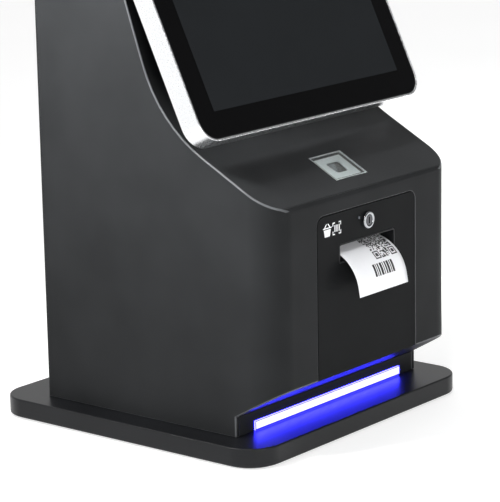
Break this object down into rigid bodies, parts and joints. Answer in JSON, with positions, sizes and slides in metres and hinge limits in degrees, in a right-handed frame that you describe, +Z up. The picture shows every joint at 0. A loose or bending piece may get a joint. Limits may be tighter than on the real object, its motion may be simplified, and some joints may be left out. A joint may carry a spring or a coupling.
{
  "type": "self checkout kiosk",
  "caption": "Counter-top self checkout kiosk: steel cabinet on a wide base, tilting printer door with receipt mouth, shelf scanner window, leaning portrait touch screen, rear service door.",
  "frame": {"origin": "on the counter, under the middle of the base", "axes": "+X to the customer's right, +Y away from the customer, +Z up"},
  "size_m": [0.35, 0.3631, 0.8277],
  "materials": {
    "powder_coat": "fine-texture charcoal powder coat, satin",
    "zinc_steel": "bright zinc-plated sheet and turned steel",
    "hot_rolled_steel": "oiled hot-rolled plate",
    "lock_chrome": "polished chrome plate",
    "anodised_frame": "satin clear-anodised aluminium",
    "heat_sink": "grey anodised aluminium",
    "black_glass": "black back-printed cover glass, polished",
    "scanner_glass": "clear polished float glass",
    "scanner_plate": "light grey satin plate",
    "moulded_black": "black moulded ABS, fine spark texture",
    "acetal": "natural moulded acetal",
    "rubber": "black rubber, matt",
    "thermal_paper": "smooth white thermal paper",
    "core_board": "wound grey-brown board",
    "opal_acrylic": "opal acrylic, lit blue-white from behind",
    "circuit_board": "green solder-masked board",
    "green_button": "green moulded button",
    "display_module": "black display module in a folded tray",
    "supply_case": "folded and pierced aluminium case"
  },
  "bodies": {
    "cabinet": {"base_tray": "powder_coat", "cabinet_shell": "powder_coat", "kick_panel": "powder_coat", "display_back_cover": "powder_coat", "vesa_bracket": "powder_coat", "base_bottom_cover": "zinc_steel", "cabinet_floor": "zinc_steel", "door_hinge_bracket_left": "zinc_steel", "door_hinge_bracket_right": "zinc_steel", "rear_hinge_pin_lower": "zinc_steel", "rear_hinge_pin_upper": "zinc_steel", "ballast_plate": "hot_rolled_steel", "display_frame": "anodised_frame", "touch_glass": "black_glass", "scanner_window": "scanner_glass", "scanner_bezel": "scanner_plate", "scanner_module": "moulded_black", "mains_inlet": "moulded_black", "switch_housing": "moulded_black", "mini_computer": "moulded_black", "anti_slip_mat": "rubber", "led_diffuser": "opal_acrylic", "led_strip": "circuit_board", "display_board": "circuit_board", "lcd_panel": "display_module", "power_supply": "supply_case"},
    "printer_door": {"printer_door": "powder_coat", "lock_barrel": "lock_chrome", "lock_nut": "zinc_steel", "status_light": "moulded_black", "receipt_bezel": "moulded_black", "printer_chassis": "zinc_steel", "paper_bucket": "moulded_black", "paper_web": "thermal_paper", "receipt": "thermal_paper", "print_head": "heat_sink", "head_cover": "moulded_black", "feed_motor": "zinc_steel", "cutter_frame": "heat_sink", "lid_rod": "zinc_steel", "printer_board": "circuit_board"},
    "door_lock": {"lock_plug": "lock_chrome", "lock_cam": "zinc_steel"},
    "roll": {"paper_roll": "thermal_paper", "paper_core": "core_board"},
    "platen": {"platen_roller": "rubber", "platen_shaft": "zinc_steel", "platen_gear": "acetal"},
    "idler": {"idler_gear": "acetal"},
    "pinion": {"motor_pinion": "acetal"},
    "blade": {"cutter_blade": "zinc_steel"},
    "feed_key": {"feed_button": "green_button"},
    "lid": {"paper_lid": "moulded_black"},
    "service_door": {"rear_door": "powder_coat", "rear_lock_barrel": "lock_chrome", "fan_frame": "moulded_black"},
    "service_lock": {"rear_lock_plug": "lock_chrome"},
    "fan": {"fan_rotor": "moulded_black"},
    "rocker": {"power_rocker": "moulded_black"}
  },
  "joints": [
    {"name": "printer_door_tilt", "type": "hinge", "parent": "cabinet", "child": "printer_door", "pos_m": [0, -0.12423, 0.04873], "axis": [1, 0, 0], "range_deg": [0, 42]},
    {"name": "door_lock_turn", "type": "hinge", "parent": "printer_door", "child": "door_lock", "pos_m": [0, -0.1727, 0.2137], "axis": [0, -1, 0], "range_deg": [0, 90]},
    {"name": "paper_roll_spin", "type": "hinge", "parent": "printer_door", "child": "roll", "pos_m": [0, -0.125, 0.12905], "axis": [1, 0, 0], "continuous": true},
    {"name": "platen_spin", "type": "hinge", "parent": "printer_door", "child": "platen", "pos_m": [0, -0.135, 0.1846], "axis": [1, 0, 0], "continuous": true},
    {"name": "idler_spin", "type": "hinge", "parent": "printer_door", "child": "idler", "pos_m": [0, -0.13208, 0.16806], "axis": [1, 0, 0], "continuous": true},
    {"name": "pinion_spin", "type": "hinge", "parent": "printer_door", "child": "pinion", "pos_m": [0, -0.13701, 0.15452], "axis": [1, 0, 0], "continuous": true},
    {"name": "cutter_stroke", "type": "slide", "parent": "printer_door", "child": "blade", "axis": [0, 0, 1], "range_m": [0, 0.0085]},
    {"name": "feed_button_press", "type": "slide", "parent": "printer_door", "child": "feed_key", "axis": [0, 0, -1], "range_m": [0, 0.001], "stiffness_N_per_m": 400, "springref_m": -0.001},
    {"name": "paper_lid_open", "type": "hinge", "parent": "printer_door", "child": "lid", "pos_m": [0, -0.07905, 0.15205], "axis": [-1, 0, 0], "range_deg": [0, 80]},
    {"name": "rear_door_open", "type": "hinge", "parent": "cabinet", "child": "service_door", "pos_m": [-0.115, 0.1194, 0.0649], "axis": [0, 0, 1], "range_deg": [0, 110]},
    {"name": "rear_lock_turn", "type": "hinge", "parent": "service_door", "child": "service_lock", "pos_m": [0.113, 0.1234, 0.3429], "axis": [0, -1, 0], "range_deg": [0, 90]},
    {"name": "fan_spin", "type": "hinge", "parent": "service_door", "child": "fan", "pos_m": [0, 0.1216, 0.5419], "axis": [0, 1, 0], "continuous": true},
    {"name": "power_rocker_tip", "type": "hinge", "parent": "cabinet", "child": "rocker", "pos_m": [-0.022, 0.1214, 0.0434], "axis": [1, 0, 0], "range_deg": [0, 14]}
  ],
  "couplings": [
    {"joint": "platen_spin", "follows": "paper_roll_spin", "ratio": 5.4286},
    {"joint": "idler_spin", "follows": "paper_roll_spin", "ratio": -4.0714},
    {"joint": "pinion_spin", "follows": "paper_roll_spin", "ratio": 8.1429}
  ]
}
